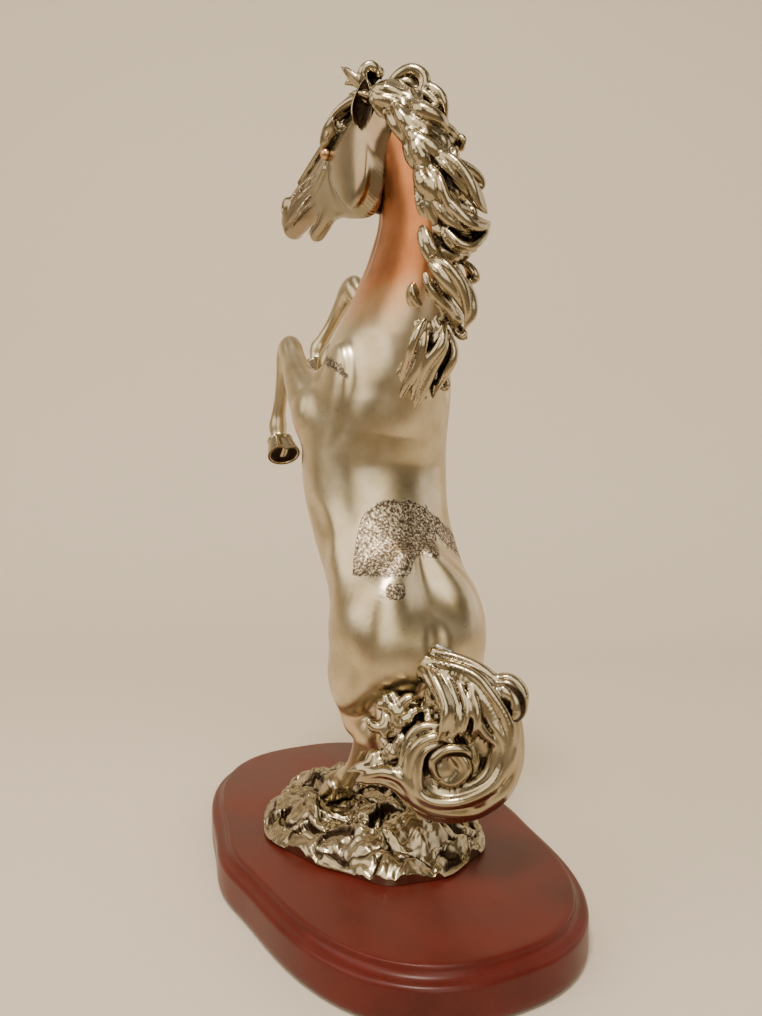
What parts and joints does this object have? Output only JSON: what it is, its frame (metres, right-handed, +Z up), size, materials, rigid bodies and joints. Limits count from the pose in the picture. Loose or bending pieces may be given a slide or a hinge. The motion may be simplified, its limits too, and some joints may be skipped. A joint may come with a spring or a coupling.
{
  "type": "rearing horse statue",
  "caption": "Rearing horse figure in silver-plated cast bronze on a rocky cast ground, screwed to a moulded wooden plinth.",
  "frame": {"origin": "centre of the felt's underside, on the surface the statue stands on", "axes": "+Z up; the horse faces -X; its left side is towards -Y"},
  "size_m": [0.2828, 0.1786, 0.4389],
  "materials": {
    "silver_plate": "bronze casting, silver plated and polished, with coppery flushes where the plate is thin",
    "antiqued_plate": "bronze casting, silver plated, with black antiquing left in its hollows",
    "eye_patina": "darkened bronze",
    "lacquered_wood": "mahogany stain under satin lacquer",
    "felt": "brown wool felt",
    "steel": "bright zinc plated"
  },
  "bodies": {
    "root": {"plinth": "lacquered_wood", "base_felt": "felt", "torso_shell": "silver_plate", "neck_shell": "silver_plate", "head_casting": "silver_plate", "left_ear": "silver_plate", "right_ear": "silver_plate", "left_foreleg": "silver_plate", "right_foreleg": "silver_plate", "left_hind_leg": "silver_plate", "right_hind_leg": "silver_plate", "mane_casting": "antiqued_plate", "forelock_casting": "antiqued_plate", "tail_casting": "antiqued_plate", "tail_curls": "antiqued_plate", "ground_casting": "antiqued_plate", "left_fore_hoof": "antiqued_plate", "right_fore_hoof": "antiqued_plate", "left_hind_hoof": "antiqued_plate", "right_hind_hoof": "antiqued_plate", "left_eye": "eye_patina", "right_eye": "eye_patina", "plinth_screws": "steel", "screw_washers": "steel", "hoof_studs": "steel", "hoof_nuts": "steel", "head_dowel": "steel", "neck_dowels": "steel", "foreleg_dowels": "steel", "hind_leg_dowels": "steel", "tail_dowel": "steel"}
  },
  "joints": []
}
